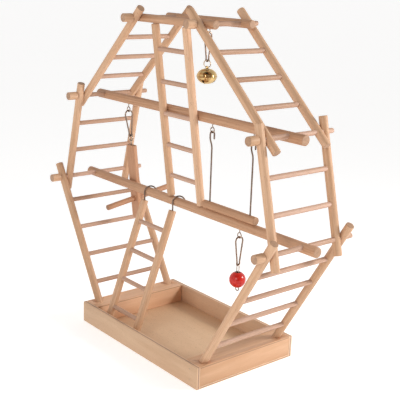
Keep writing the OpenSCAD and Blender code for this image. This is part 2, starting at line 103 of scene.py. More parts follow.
def solids(node):
    """The vertices of each separate solid of a CAD node, as arrays."""
    work = bmesh.new()
    work.from_mesh(frame["nodes"][node].data)
    bmesh.ops.remove_doubles(work, verts=work.verts, dist=WELD_FRAME)
    seen = set()
    found = []
    for start in work.verts:
        if start in seen:
            continue
        seen.add(start)
        stack = [start]
        island = []
        while stack:
            vertex = stack.pop()
            island.append(tuple(vertex.co))
            for edge in vertex.link_edges:
                other = edge.other_vert(vertex)
                if other not in seen:
                    seen.add(other)
                    stack.append(other)
        found.append(np.array(island))
    work.free()
    return sorted(found, key=lambda points: tuple(np.round(points.mean(0), 5)))


def bar_of(points):
    """A round bar's two ends and radius, and how far its thinner tenons reach beyond each end."""
    centre = points.mean(0)
    axis = np.linalg.svd(points - centre, full_matrices=False)[2][0]
    near = 0.1 * MM
    rounds = 3
    for _ in range(rounds):
        along = (points - centre) @ axis
        first = points[along < along.min() + near].mean(0)
        last = points[along > along.max() - near].mean(0)
        centre = first
        axis = (last - first) / np.linalg.norm(last - first)
    along = (points - centre) @ axis
    radial = np.linalg.norm(points - centre - np.outer(along, axis), axis=1)
    radius = radial.max()
    barrel = along[radial > 0.8 * radius]
    return {
        "p": Vector(centre + axis * barrel.min()),
        "q": Vector(centre + axis * barrel.max()),
        "r": float(radius),
        "tenon_p": float(barrel.min() - along.min()),
        "tenon_q": float(along.max() - barrel.max()),
    }


def bars_of(node):
    return [bar_of(points) for points in solids(node)]


def box_in(place, node):
    """The lowest and highest corners of a node's first solid, in a frame of its own."""
    points = [place.inverted() @ Vector(p) for p in solids(node)[0]]
    low = Vector([min(p[i] for p in points) for i in range(3)])
    high = Vector([max(p[i] for p in points) for i in range(3)])
    return low, high


# ---- Mesh building --------------------------------------------------------------------------------


class Shape:
    """Vertices and faces that grow as pieces are added."""

    def __init__(self):
        self.verts = []
        self.faces = []

    def add(self, verts, faces):
        base = len(self.verts)
        self.verts.extend(Vector(v) for v in verts)
        self.faces.extend(tuple(base + i for i in face) for face in faces)
        return self

    def mesh(self, name):
        data = bpy.data.meshes.new(name)
        data.from_pydata([tuple(v) for v in self.verts], [], self.faces)
        work = bmesh.new()
        work.from_mesh(data)
        bmesh.ops.remove_doubles(work, verts=work.verts, dist=WELD_PIECE)
        bmesh.ops.recalc_face_normals(work, faces=work.faces)
        work.to_mesh(data)
        work.free()
        return data


def lathe(profile, sides, place=Matrix.Identity(4)):
    """A profile of (radius, height) turned about Z. Points on the axis close the shape."""
    verts = []
    rows = []
    for radius, height in profile:
        if radius < 1e-9:
            rows.append([len(verts)])
            verts.append(place @ Vector((0, 0, height)))
        else:
            rows.append(list(range(len(verts), len(verts) + sides)))
            for i in range(sides):
                turn = 2 * math.pi * i / sides
                verts.append(place @ Vector((radius * math.cos(turn), radius * math.sin(turn), height)))
    faces = []
    for low, high in zip(rows, rows[1:]):
        for i in range(sides):
            j = (i + 1) % sides
            if len(low) == 1:
                faces.append((low[0], high[j], high[i]))
            elif len(high) == 1:
                faces.append((low[i], low[j], high[0]))
            else:
                faces.append((low[i], low[j], high[j], high[i]))
    return verts, faces


def closed_lathe(profile, sides, place=Matrix.Identity(4)):
    """A closed outline of (radius, height) turned about Z into a ring."""
    return lathe(profile + profile[:1], sides, place)


def frame_along(start, end, spin=0.0):
    """A matrix that takes +Z to the line from start to end."""
    axis = (end - start).normalized()
    turn = axis.to_track_quat("Z", "Y").to_matrix().to_4x4()
    return Matrix.Translation(start) @ turn @ Matrix.Rotation(spin, 4, "Z")


def quarter(centre_r, centre_z, size, start, end, steps=4):
    """Points on an arc in (radius, height), from start to end in degrees."""
    points = []
    for i in range(steps + 1):
        turn = math.radians(start + (end - start) * i / steps)
        points.append((centre_r + size * math.cos(turn), centre_z + size * math.sin(turn)))
    return points


def dowel_profile(radius, length, ease):
    """Flat ends with eased rims, and a long side in short stretches."""
    stretch = 12 * MM
    count = max(2, round(length / stretch))
    side = [(radius, ease + (length - 2 * ease) * i / count) for i in range(1, count)]
    low = [(0, 0), (radius * 0.5, 0)] + quarter(radius - ease, ease, ease, -90, 0)
    high = quarter(radius - ease, length - ease, ease, 0, 90) + [(radius * 0.5, length), (0, length)]
    return low + side + high


def dowel(bar, ease):
    """The barrel of a bar, as vertices and faces."""
    length = (bar["q"] - bar["p"]).length
    return lathe(dowel_profile(bar["r"], length, ease), DOWEL_SIDES, frame_along(bar["p"], bar["q"]))


def drill_shape(bars):
    """Plain bars, a glue gap larger than the given ones, to drill with."""
    shape = Shape()
    for bar in bars:
        axis = (bar["q"] - bar["p"]).normalized()
        start = bar["p"] - axis * (bar["tenon_p"] + GLUE_GAP)
        end = bar["q"] + axis * (bar["tenon_q"] + GLUE_GAP)
        radius = bar["r"] + GLUE_GAP
        length = (end - start).length
        profile = [(0, 0), (radius, 0), (radius, length), (0, length)]
        shape.add(*lathe(profile, DOWEL_SIDES, frame_along(start, end)))
    return shape


def apply_modifiers(piece):
    """Bakes a piece's modifiers into its mesh."""
    graph = bpy.context.evaluated_depsgraph_get()
    data = bpy.data.meshes.new_from_object(piece.evaluated_get(graph), depsgraph=graph)
    piece.modifiers.clear()
    old = piece.data
    piece.data = data
    bpy.data.meshes.remove(old)


def cut_out(piece, shape, crossing=False):
    """Takes a shape out of a piece. crossing says that the shape's own parts cross each other."""
    tool = bpy.data.objects.new("cutter", shape.mesh("cutter"))
    bpy.context.scene.collection.objects.link(tool)
    cut = piece.modifiers.new("cut", "BOOLEAN")
    cut.operation = "DIFFERENCE"
    cut.solver = "EXACT"
    cut.use_self = crossing
    cut.object = tool
    apply_modifiers(piece)
    data = tool.data
    bpy.data.objects.remove(tool)
    bpy.data.meshes.remove(data)


def drill(piece, bars):
    """Takes the round sockets of some bars out of a piece."""
    cut_out(piece, drill_shape(bars))
    resharpen(piece, WOOD_SHARP)


def tube(points, radius, closed=False, sides=WIRE_SIDES, flat=1.0, flat_along=None):
    """A wire swept along points. flat is its thickness along flat_along, as a share of its width."""
    points = [Vector(p) for p in points]
    count = len(points)
    tangents = []
    for i in range(count):
        before = points[i - 1] if closed or i else points[i]
        after = points[(i + 1) % count] if closed or i < count - 1 else points[i]
        tangents.append((after - before).normalized())
    side = tangents[0].orthogonal().normalized()
    verts = []
    rings = []

    def ring(centre, tangent, across, size):
        up = tangent.cross(across)
        index = list(range(len(verts), len(verts) + sides))
        for k in range(sides):
            turn = 2 * math.pi * k / sides
            offset = (across * math.cos(turn) + up * math.sin(turn)) * size
            if flat_along is not None:
                offset -= flat_along * offset.dot(flat_along) * (1 - flat)
            verts.append(centre + offset)
        rings.append(index)

    caps = [(math.sin(math.radians(a)), math.cos(math.radians(a))) for a in (0, 35, 65)]
    for i in range(count):
        side = (side - tangents[i] * side.dot(tangents[i])).normalized()
        if not closed and i == 0:
            for depth, size in reversed(caps[1:]):
                centre = points[0] + tangents[0] * (radius * (1 - depth) - radius)
                ring(centre, tangents[0], side, radius * size)
        ring(points[i], tangents[i], side, radius)
        if not closed and i == count - 1:
            for depth, size in caps[1:]:
                ring(points[-1] + tangents[-1] * radius * depth, tangents[-1], side, radius * size)
    faces = []
    total = len(rings)
    for i in range(total if closed else total - 1):
        low = rings[i]
        high = rings[(i + 1) % total]
        shift = 0
        if closed and i == total - 1:
            shift = min(range(sides), key=lambda k: (verts[low[0]] - verts[high[k]]).length)
        for k in range(sides):
            a = (k + shift) % sides
            b = (k + 1 + shift) % sides
            faces.append((low[k], low[(k + 1) % sides], high[b], high[a]))
    if not closed:
        faces.append(tuple(rings[0]))
        faces.append(tuple(rings[-1]))
    return verts, faces


def arc(centre, across, up, radius, start, end, steps=24):
    """Points on a circle in the plane of across and up, from start to end in degrees."""
    points = []
    for i in range(steps + 1):
        turn = math.radians(start + (end - start) * i / steps)
        points.append(centre + across * (radius * math.cos(turn)) + up * (radius * math.sin(turn)))
    return points


def rounded(points, bend, steps=6):
    """The same path with its corners turned into short curves."""
    path = [points[0]]
    for before, corner, after in zip(points, points[1:], points[2:]):
        reach = min(bend, (corner - before).length * 0.45, (after - corner).length * 0.45)
        start = corner + (before - corner).normalized() * reach
        end = corner + (after - corner).normalized() * reach
        for i in range(steps + 1):
            t = i / steps
            path.append(start.lerp(corner, t).lerp(corner.lerp(end, t), t))
    path.append(points[-1])
    return path


# ---- Attributes for the wood materials ------------------------------------------------------------


# How much lighter or darker than the rest some pieces are made, from -2 to 2
STICK_TONE = {
    "upper_right_rungs": -2.0,
    "right_end_block": -1.3,
    "top_joint_rods": -0.8,
    "lower_right_rungs": 0.3,
    "low_joint_rods": 0.5,
    "middle_right_front_rail": 0.5,
    "hanging_ladder_right_rail": 0.8,
    "low_perch": 0.8,
    "left_end_block": 0.9,
    "swing_seat": 1.0,
    "back_board": 1.5,
    "middle_right_rungs": 1.5,
}
# How far each stick's pattern is moved from the next one's, at random, in metres
GRAIN_SHIFT = 9
# A face is end grain where it faces along the stick by more than this share
FACING_ALONG = 0.8
# A layered board's face shows its plies where it faces through its thickness by less than this
FACING_THROUGH = 0.6


def set_grain(piece, islands, name, layered=False):
    """Stores where each point lies in its own stick of wood: x and y across the grain, z along it.

    islands is a list of (matrix into the stick's own frame, distance of a point from that stick).
    A layered board keeps its true depth in x, and all its narrow faces count as cut.
    """
    data = piece.data
    for key, kind, domain in (("grain", "FLOAT_VECTOR", "POINT"), ("tone", "FLOAT", "POINT"),
                              ("end_grain", "FLOAT", "CORNER")):
        data.attributes.new(key, kind, domain)
    grain, tone, end = (data.attributes[key] for key in ("grain", "tone", "end_grain"))
    draw = random.Random(name)
    moods = []
    for _ in islands:
        mood = STICK_TONE.get(name, 0) + draw.uniform(-1, 1)
        moods.append((mood, Vector([draw.uniform(-GRAIN_SHIFT, GRAIN_SHIFT) for _ in range(3)])))
    if layered:
        moods = [(mood, Vector((0, shift.y, shift.z))) for mood, shift in moods]
    owner = []
    for vertex in data.vertices:
        best = 0
        if len(islands) > 1:
            best = min(range(len(islands)), key=lambda i: islands[i][1](vertex.co))
        owner.append(best)
        grain.data[vertex.index].vector = islands[best][0] @ vertex.co + moods[best][1]
        tone.data[vertex.index].value = moods[best][0]
    for face in data.polygons:
        into = islands[owner[face.vertices[0]]][0].to_3x3()
        normal = into @ face.normal
        shows_plies = layered and abs(normal.x) < FACING_THROUGH
        cut = 1.0 if abs(normal.z) > FACING_ALONG or shows_plies else 0.0
        for corner in face.loop_indices:
            end.data[corner].value = cut


def line_distance(start, end):
    """How far a point is from the stretch between two points."""
    along = end - start
    length = along.length_squared

    def distance(point):
        share = max(0.0, min(1.0, (point - start).dot(along) / length))
        return (start + along * share - point).length

    return distance


# ---- Pieces ---------------------------------------------------------------------------------------


def new_object(name, data, material, sharp=WOOD_SHARP):
    data.shade_smooth()
    data.set_sharp_from_angle(angle=math.radians(sharp))
    data.materials.clear()
    data.materials.append(material)
    piece = bpy.data.objects.new(name, data)
    bpy.context.scene.collection.objects.link(piece)
    return piece


def stand_for(piece, *nodes):
    """The piece takes the CAD nodes' place and body, and the nodes are hidden."""
    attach(piece, body_of_node[nodes[0]])
    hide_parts(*nodes)
    return piece


def resharpen(piece, sharp):
    piece.data.shade_smooth()
    piece.data.set_sharp_from_angle(angle=math.radians(sharp))


def wooden_dowels(node, material, ease=DOWEL_EASE, sockets=()):
    """All the dowels of one CAD node, drilled where other bars enter them."""
    bars = bars_of(node)
    draw = random.Random(node + "_spin")
    shape = Shape()
    islands = []
    for bar in bars:
        spin = draw.uniform(0, 2 * math.pi)
        shape.add(*dowel(bar, min(ease, bar["r"] * 0.3)))
        islands.append((frame_along(bar["p"], bar["q"], spin).inverted(), line_distance(bar["p"], bar["q"])))
        for key, end, out in (("tenon_p", "p", -1), ("tenon_q", "q", 1)):
            if bar[key] > SHORTEST_PEG:
                shape.add(*tenon(bar, key, end, out))
    piece = new_object(node + "_wood", shape.mesh(node + "_wood"), material)
    if sockets:
        drill(piece, [bar for name in sockets for bar in bars_of(name)])
    set_grain(piece, islands, node)
    return stand_for(piece, node)


def tenon(bar, key, end, out):
    """A thin peg that stands out of a dowel's end."""
    axis = (bar["q"] - bar["p"]).normalized() * out
    start = bar[end] - axis * PEG_OVERLAP
    length = bar[key] + PEG_OVERLAP
    return lathe(dowel_profile(PEG_R, length, RUNG_EASE), DOWEL_SIDES, frame_along(start, start + axis))


def box_shape(low, high):
    corners = [(x, y, z) for x in (low.x, high.x) for y in (low.y, high.y) for z in (low.z, high.z)]
    faces = [(0, 1, 3, 2), (4, 6, 7, 5), (0, 4, 5, 1), (2, 3, 7, 6), (0, 2, 6, 4), (1, 5, 7, 3)]
    return Shape().add(corners, faces)


def ease_edges(piece, width, segments=3):
    bevel = piece.modifiers.new("ease", "BEVEL")
    bevel.width = width
    bevel.segments = segments
    bevel.limit_method = "ANGLE"
    bevel.angle_limit = math.radians(50)
    bevel.harden_normals = True
    apply_modifiers(piece)


def stick_frame(along, thick, origin):
    """Into a plank's own frame: z along the grain, x through its thickness."""
    across = along.cross(thick)
    turn = Matrix((thick, across, along)).to_4x4()
    return turn @ Matrix.Translation(-origin)


def plank(node, material, along, thick, ease, sockets=(), layered=False):
    """A sawn board with eased edges, where the frame has it."""
    low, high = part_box(node)
    piece = new_object(node + "_wood", box_shape(low, high).mesh(node + "_wood"), material)
    ease_edges(piece, ease)
    resharpen(piece, WOOD_SHARP)
    if sockets:
        drill(piece, [bar for name in sockets for bar in bars_of(name)])
    set_grain(piece, [(stick_frame(along, thick, low), None)], node, layered)
    return stand_for(piece, node)


# ---- Materials ------------------------------------------------------------------------------------


class Nodes:
    """Short calls for making the node tree of a material or a world."""

    def __init__(self, owner):
        self.owner = owner
        owner.use_nodes = True
        self.tree = owner.node_tree

    def feed(self, socket, value):
        """Gives a socket a number, a vector, a colour without its alpha, or another node's output."""
        if isinstance(value, bpy.types.NodeSocket):
            self.tree.links.new(value, socket)
        elif socket.type == "RGBA":
            socket.default_value = (*value, 1.0)
        else:
            socket.default_value = value

    def fill(self, node, **inputs):
        for name, value in inputs.items():
            self.feed(node.inputs[name.replace("_", " ")], value)
        return node

    def new(self, kind, *inputs, **values):
        """A new node, with its settings and its first inputs in their order."""
        made = self.tree.nodes.new(kind)
        for key, value in values.items():
            setattr(made, key, value)
        for socket, value in zip(made.inputs, inputs):
            self.feed(socket, value)
        return made

    def attribute(self, name, output):
        return self.new("ShaderNodeAttribute", attribute_name=name).outputs[output]

    def coordinates(self, kind):
        return self.new("ShaderNodeTexCoord").outputs[kind]

    def stretched(self, vector, scale):
        return self.new("ShaderNodeVectorMath", vector, scale, operation="MULTIPLY").outputs[0]

    def noise(self, vector, scale=1.0, detail=2.0, roughness=0.5):
        node = self.new("ShaderNodeTexNoise")
        self.fill(node, Vector=vector, Scale=scale, Detail=detail, Roughness=roughness)
        return node.outputs["Fac"]

    def remap(self, value, low, high, to_low=0.0, to_high=1.0):
        node = self.new("ShaderNodeMapRange")
        self.fill(node, Value=value, From_Min=low, From_Max=high, To_Min=to_low, To_Max=to_high)
        return node.outputs["Result"]

    def math(self, operation, a, b=0.0):
        return self.new("ShaderNodeMath", a, b, operation=operation).outputs[0]

    def mix(self, amount, a, b, blend="MIX"):
        node = self.new("ShaderNodeMix", amount, data_type="RGBA", blend_type=blend)
        first, second = (socket for socket in node.inputs if socket.type == "RGBA")
        self.feed(first, a)
        self.feed(second, b)
        return next(socket for socket in node.outputs if socket.type == "RGBA")

    def separate(self, vector):
        return self.new("ShaderNodeSeparateXYZ", vector).outputs

    def combine(self, x, y, z):
        return self.new("ShaderNodeCombineXYZ", x, y, z).outputs[0]

    def bump(self, height, distance, strength):
        node = self.new("ShaderNodeBump")
        self.fill(node, Height=height, Distance=distance, Strength=strength)
        self.finish(Normal=node.outputs["Normal"])

    def finish(self, **inputs):
        """Sets the material's shader."""
        self.fill(self.tree.nodes["Principled BSDF"], **inputs)
        return self.owner


def darker(color, share):
    return tuple(share * c for c in color)


# How often each pattern of wood repeats in a metre: across the grain twice, then along it
WANDER = (60, 60, 9)
FIBRES = (2600, 2600, 70)
BLOTCHES = (45, 45, 14)
RAYS = (1500, 1500, 260)
PORES = (5200, 5200, 0)
ALONG_LAYERS = 11
LAYER_FLATNESS = 0.28
RING_FLATNESS = 0.3

WANDER_REACH = 2.5 * MM
GRAIN_RELIEF = 0.06 * MM
# Half-widths of the thin dark line on the end blocks: darkest within the first, gone by the second
DARK_LINE_CORE = 0.35 * MM
DARK_LINE_EDGE = 0.6 * MM
GLUE_CORE = 0.06 * MM
GLUE_EDGE = 0.2 * MM


def wood(name, pale, deep, end, streak=1.0, fleck=1.0, layer=1.6 * MM, plies=None, dark_line_height=None):
    """Raw wood: growth layers and fibres along each stick, ray flecks, and end grain where it is cut.

    Colours are linear. layer is the width of a growth layer and plies the thickness of each ply.
    The last argument, when given, is the height of a thin dark line drawn across the faces.
    """
    n = Nodes(bpy.data.materials.new(name))
    grain = n.attribute("grain", "Vector")
    cut = n.attribute("end_grain", "Fac")
    wander = n.noise(n.stretched(grain, WANDER), detail=1.0)
    x, y, z = n.separate(grain)
    bent = n.combine(n.math("ADD", x, n.math("MULTIPLY", wander, WANDER_REACH)), y, z)
    along_layers = n.stretched(bent, (1 / layer, LAYER_FLATNESS / layer, ALONG_LAYERS))
    layers = n.noise(along_layers, detail=2.5, roughness=0.55)
    fibres = n.noise(n.stretched(grain, FIBRES), detail=2.0, roughness=0.6)
    blotch = n.noise(n.stretched(grain, BLOTCHES), detail=1.0)
    rays = n.noise(n.stretched(grain, RAYS), detail=1.0)
    body = n.mix(n.remap(layers, 0.38, 0.66, 0.0, streak), pale, deep)
    body = n.mix(n.remap(blotch, 0.3, 0.7, 0.0, 0.45), body, deep)
    body = n.mix(n.remap(fibres, 0.35, 0.7, 0.0, 0.35 * streak), body, darker(deep, 0.72))
    body = n.mix(n.remap(rays, 0.66, 0.74, 0.0, 0.5 * fleck), body, darker(deep, 0.45))
    if plies:
        face = ply_edges(n, x, pale, end, plies)
    else:
        face = ring_ends(n, grain, bent, end, layer)
    color = n.mix(cut, body, face)
    if dark_line_height:
        color = dark_line_at_height(n, color, darker(deep, 0.45), dark_line_height)
    n.finish(IOR=1.45)
    relief = n.math("ADD", n.math("MULTIPLY", fibres, 0.6), n.math("MULTIPLY", layers, 0.4))
    n.bump(relief, GRAIN_RELIEF, 0.6)
    return n.finish(Base_Color=toned(n, color), Roughness=n.remap(fibres, 0.3, 0.7, 0.5, 0.68))


def ring_ends(n, grain, bent, end, layer):
    """Growth rings and pores on a stick's cut ends."""
    rings = n.noise(n.stretched(bent, (1 / layer, RING_FLATNESS / layer, 0)), detail=1.0)
    pores = n.noise(n.stretched(grain, PORES), detail=1.0)
    face = n.mix(n.remap(rings, 0.35, 0.65), end, darker(end, 0.78))
    return n.mix(n.remap(pores, 0.55, 0.75, 0.0, 0.6), face, darker(end, 0.5))


def ply_edges(n, x, pale, end, plies):
    """Alternate plies on a board's narrow faces, with thin dark glue lines between them."""
    crosswise = n.math("MODULO", n.math("FLOOR", n.math("DIVIDE", x, plies)), 2)
    color = n.mix(crosswise, darker(pale, 1.12), end)
    line = n.math("PINGPONG", x, plies / 2)
    return n.mix(n.remap(line, GLUE_CORE, GLUE_EDGE, 0.5, 0.0), color, darker(end, 0.5))


def dark_line_at_height(n, color, dark, dark_line_height):
    """A thin dark line at one height, on every face that crosses it."""
    height = n.separate(n.coordinates("Object"))[2]
    away = n.math("ABSOLUTE", n.math("SUBTRACT", height, dark_line_height))
    return n.mix(n.remap(away, DARK_LINE_CORE, DARK_LINE_EDGE, 0.75, 0.0), color, dark)


def toned(n, color):
    """Each stick a little paler or darker, the darker the redder."""
    shade = n.remap(n.attribute("tone", "Fac"), -3, 3, 0.8, 1.2)
    warmth = n.combine(shade, n.math("POWER", shade, 1.3), n.math("POWER", shade, 1.7))
    return n.mix(1.0, color, warmth, "MULTIPLY")


def metal(name, color, rough, scale=900.0, dark=0.55, bump=0.01 * MM):
    """Drawn or polished metal with faint handling marks."""
    n = Nodes(bpy.data.materials.new(name))
    place = n.coordinates("Object")
    cloud = n.noise(place, scale=scale * 0.2, detail=3.0)
    grit = n.noise(place, scale=scale * 3, detail=2.0)
    shade = n.mix(n.remap(cloud, 0.35, 0.7), color, darker(color, dark))
    n.bump(grit, bump, 0.5)
    gloss = n.remap(cloud, 0.3, 0.7, rough * 0.8, rough * 1.35)
    return n.finish(Base_Color=shade, Roughness=gloss, Metallic=1.0)


def glossy(name, color, deep, bore):
    """Clear-lacquered bright colour with slight waviness. Where the bore mask is 1 it takes the bore colour:
    unpainted wood darkened to near black, painted shade inside the hole.
    """
    n = Nodes(bpy.data.materials.new(name))
    place = n.coordinates("Object")
    cloud = n.noise(place, scale=180.0, detail=2.0)
    n.bump(n.noise(place, scale=420.0, detail=1.0), 0.03 * MM, 0.4)
    lacquer = n.mix(n.remap(cloud, 0.3, 0.7), color, deep)
    # Painted shade: the bore and its mouths are darkened to near black for the shadow inside the hole, over
    # unpainted wood
    shade = n.mix(n.attribute("bare_wood_and_shade", "Fac"), lacquer, bore)
    n.finish(Specular_IOR_Level=0.25, Coat_Weight=0.35, Coat_Roughness=0.08)
    return n.finish(Base_Color=shade, Roughness=0.3)


board_low, board_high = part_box("front_board")
panel_low, panel_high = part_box("floor_panel")
PLIES = 3
BOARD_PLY = (board_high.y - board_low.y) / PLIES
PANEL_PLY = (panel_high.z - panel_low.z) / PLIES
# A thin dark line is drawn on the pine end blocks 1.3 mm under the boards' top edge
DARK_LINE_HEIGHT = board_high.z - 1.3 * MM
CORE = (0.44, 0.275, 0.195)

rail_wood = wood("rail_wood", pale=(0.71, 0.455, 0.29), deep=(0.565, 0.33, 0.19), end=(0.46, 0.275, 0.17))
rung_wood = wood("rung_wood", pale=(0.60, 0.385, 0.285), deep=(0.50, 0.30, 0.20), end=(0.36, 0.22, 0.145))
perch_wood = wood("perch_wood", pale=(0.59, 0.345, 0.205), deep=(0.43, 0.22, 0.115), end=(0.45, 0.26, 0.155))
toy_wood = wood("toy_wood", pale=(0.61, 0.335, 0.195), deep=(0.47, 0.235, 0.13), end=(0.39, 0.21, 0.12),
                streak=1.2)
pine = wood("pine", pale=(0.78, 0.495, 0.315), deep=(0.65, 0.365, 0.205), end=(0.52, 0.29, 0.165),
            streak=0.55, fleck=0.2, layer=3.2 * MM, dark_line_height=DARK_LINE_HEIGHT)
board_ply = wood("board_ply", pale=(0.69, 0.47, 0.305), deep=(0.60, 0.38, 0.235), end=CORE,
                 streak=0.6, layer=2 * MM, plies=BOARD_PLY)
floor_ply = wood("floor_ply", pale=(0.80, 0.57, 0.375), deep=(0.72, 0.485, 0.305), end=CORE,
                 streak=0.5, layer=6 * MM, plies=PANEL_PLY)
wire_steel = metal("wire_steel", (0.25, 0.175, 0.135), rough=0.3)
clip_steel = metal("clip_steel", (0.34, 0.235, 0.175), rough=0.26)
eye_nickel = metal("eye_nickel", (0.50, 0.40, 0.33), rough=0.22)
ring_nickel = metal("ring_nickel", (0.62, 0.50, 0.38), rough=0.2)
nail_steel = metal("nail_steel", (0.45, 0.43, 0.4), rough=0.4)
bell_brass = metal("bell_brass", (0.66, 0.45, 0.20), rough=0.07, scale=400.0, dark=0.85, bump=0.003 * MM)
# The bore colour is unpainted wood darkened to near black, a painted shade inside the bead's hole
bead_red = glossy("bead_red", (0.62, 0.022, 0.012), (0.48, 0.012, 0.008), bore=(0.09, 0.045, 0.03))


# ---- Ladders, rods and perches --------------------------------------------------------------------

for level, rods in RODS_OF.items():
    for side in SIDES:
        ladder = f"{level}_{side}"
        for face in ("front", "back"):
            wooden_dowels(f"{ladder}_{face}_rail", rail_wood, sockets=[f"{ladder}_rungs", *rods])
        wooden_dowels(f"{ladder}_rungs", rung_wood, RUNG_EASE)
for rods in JOINT_RODS:
    wooden_dowels(rods, rung_wood)
wooden_dowels("rod_end_caps", rail_wood, sockets=JOINT_RODS)
perch_rods = {"low_perch": "low_joint_rods", "high_perch": "middle_joint_rods",
              "top_front_perch": "top_joint_rods", "top_back_perch": "top_joint_rods"}
for perch, rods in perch_rods.items():
    wooden_dowels(perch, perch_wood, sockets=[rods])
for ladder in ("hanging_ladder", "loose_ladder"):
    for side in SIDES:
        wooden_dowels(f"{ladder}_{side}_rail", rail_wood, sockets=[f"{ladder}_rungs"])
    wooden_dowels(f"{ladder}_rungs", rung_wood, RUNG_EASE)
wooden_dowels("swing_seat", perch_wood)

# ---- Tray -----------------------------------------------------------------------------------------

for board in ("front_board", "back_board"):
    plank(board, board_ply, X, Y, BOARD_EASE, layered=True)
plank("floor_panel", floor_ply, X, Z, PANEL_EASE, layered=True)
for side in SIDES:
    feet = [f"lower_{side}_front_rail", f"lower_{side}_back_rail"]
    plank(f"{side}_end_block", pine, Y, X, BLOCK_EASE, feet)

# ---- Climbing block and its dowel -----------------------------------------------------------------

block_normal = Vector(joint["climbing_block_sway"]["axis"])
block_up = block_normal.cross(X).normalized()
if block_up.z < 0:
    block_up = -block_up
block_pivot = Vector(joint["block_clip_swing"]["pos_m"])
# The leaning frame of the block: x is X, y its thickness, z up its length, from the clip's pivot
block_frame = Matrix.Translation(block_pivot) @ Matrix((X, block_normal, block_up)).transposed().to_4x4()


def climbing_block():
    """A flat stick with eased edges and a hole for its dowel."""
    shape = box_shape(*box_in(block_frame, "climbing_block"))
    shape.verts = [block_frame @ v for v in shape.verts]
    piece = new_object("climbing_block_wood", shape.mesh("climbing_block_wood"), toy_wood)
    ease_edges(piece, BLOCK_EASE)
    drill(piece, bars_of("block_cross_dowel"))
    set_grain(piece, [(stick_frame(block_up, X, block_pivot), None)], "climbing_block")
    return stand_for(piece, "climbing_block")


climbing_block()
wooden_dowels("block_cross_dowel", toy_wood)

# ---- Wire pieces ----------------------------------------------------------------------------------

THREAD_PITCH = 1.1 * MM
THREAD_DEPTH = 0.22 * MM
THREAD_SINK = 0.05 * MM
THREAD_TURNS = 3
THREAD_SIDES = 8
THREAD_STEPS = 16
EYE_WIRE_R = 0.72 * MM
CLIP_LOOP_R = 2.3 * MM
CLIP_NECK = 1.9 * MM
LOOP_WIRE_R = 0.65 * MM


def wire_piece(node, path, wire_r, material=wire_steel, **shape_of_tube):
    """A CAD node's wire as one piece, swept along its path."""
    return wire_object(node, Shape().add(*tube(path, wire_r, **shape_of_tube)), material)


def wire_object(node, shape, material=wire_steel):
    piece = new_object(node + "_wire", shape.mesh(node + "_wire"), material, WIRE_SHARP)
    return stand_for(piece, node)


def eye_on_stem(centre, ring_r, side, up, stem_end, wire_r, gap):
    """A bent eye that runs on into a straight stem. up points from the stem towards the eye.

    gap is the angle in degrees between the stem and the wire's free end.
    """
    into_stem = 258
    steps = 44
    bend = arc(centre, side, up, ring_r, -90 + gap, into_stem, steps)
    neck = centre - up * (ring_r + 1.1 * wire_r)
    path = bend[:-2] + rounded([bend[-2], neck, neck - up * wire_r * 2], wire_r, 3)[1:]
    return path + [stem_end]


def thread(top, radius):
    """A screw thread that winds up to just under the top of a shank."""
    start = top - Z * (THREAD_TURNS + 1) * THREAD_PITCH
    helix = []
    for i in range(THREAD_TURNS * THREAD_STEPS + 1):
        turn = 2 * math.pi * i / THREAD_STEPS
        out = X * math.cos(turn) + Y * math.sin(turn)
        helix.append(start + out * (radius - THREAD_SINK) + Z * THREAD_PITCH * i / THREAD_STEPS)
    return tube(helix, THREAD_DEPTH, sides=THREAD_SIDES)


def screw_eyes():
    """Bent eyes whose wire closes against the shank, with a screw thread in the wood."""
    shape = Shape()
    for points in solids("screw_eyes"):
        low, high = Vector(points.min(0)), Vector(points.max(0))
        outer_r = (high.x - low.x) / 2
        inner_r = outer_r - (high.y - low.y)
        ring_r = inner_r + EYE_WIRE_R
        centre = Vector(((low.x + high.x) / 2, (low.y + high.y) / 2, low.z + outer_r))
        shank_top = Vector((centre.x, centre.y, high.z))
        path = eye_on_stem(centre, ring_r, -X, -Z, shank_top - Z * EYE_WIRE_R, EYE_WIRE_R, 24)
        shape.add(*tube(path, EYE_WIRE_R))
        shape.add(*thread(shank_top, EYE_WIRE_R))
    return wire_object("screw_eyes", shape, eye_nickel)


def clip_path(wire_r, top, bottom, top_r):
    """A pear-shaped clip in its own YZ plane: round top, legs that close on a small bottom loop."""
    top_centre = Z * (top - wire_r - top_r)
    loop_centre = Z * (bottom + wire_r + CLIP_LOOP_R)
    neck_turn = math.degrees(math.acos(CLIP_NECK / CLIP_LOOP_R))
    neck_z = loop_centre.z + math.sqrt(CLIP_LOOP_R**2 - CLIP_NECK**2)
    reach = Vector((CLIP_NECK, neck_z - top_centre.z))
    swing = math.degrees(math.atan2(reach.y, reach.x) + math.acos(top_r / reach.length))
    upper = arc(top_centre, Y, Z, top_r, swing, 180 - swing, 30)
    lower = arc(loop_centre, Y, Z, CLIP_LOOP_R, 180 - neck_turn, 360 + neck_turn, 24)
    path = upper + lower
    leg_steps = 8
    smooth = []
    for i, point in enumerate(path):
        after = path[(i + 1) % len(path)]
        steps = leg_steps if (after - point).length > 8 * wire_r else 1
        smooth.extend(point.lerp(after, k / steps) for k in range(steps))
    return smooth


def clip(toy, lean=Matrix.Identity(3)):
    """A toy's clip. All three are alike, and the bell's hangs straight, so its box gives their size."""
    pivot = Vector(joint[f"{toy}_clip_swing"]["pos_m"])
    low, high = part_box("bell_clip")
    bell_pivot = Vector(joint["bell_clip_swing"]["pos_m"])
    wire_r = (high.x - low.x) / 2
    top_r = (high.y - low.y) / 2 - wire_r
    path = clip_path(wire_r, high.z - bell_pivot.z, low.z - bell_pivot.z, top_r)
    return wire_piece(f"{toy}_clip", [pivot + lean @ p for p in path], wire_r, clip_steel, closed=True)


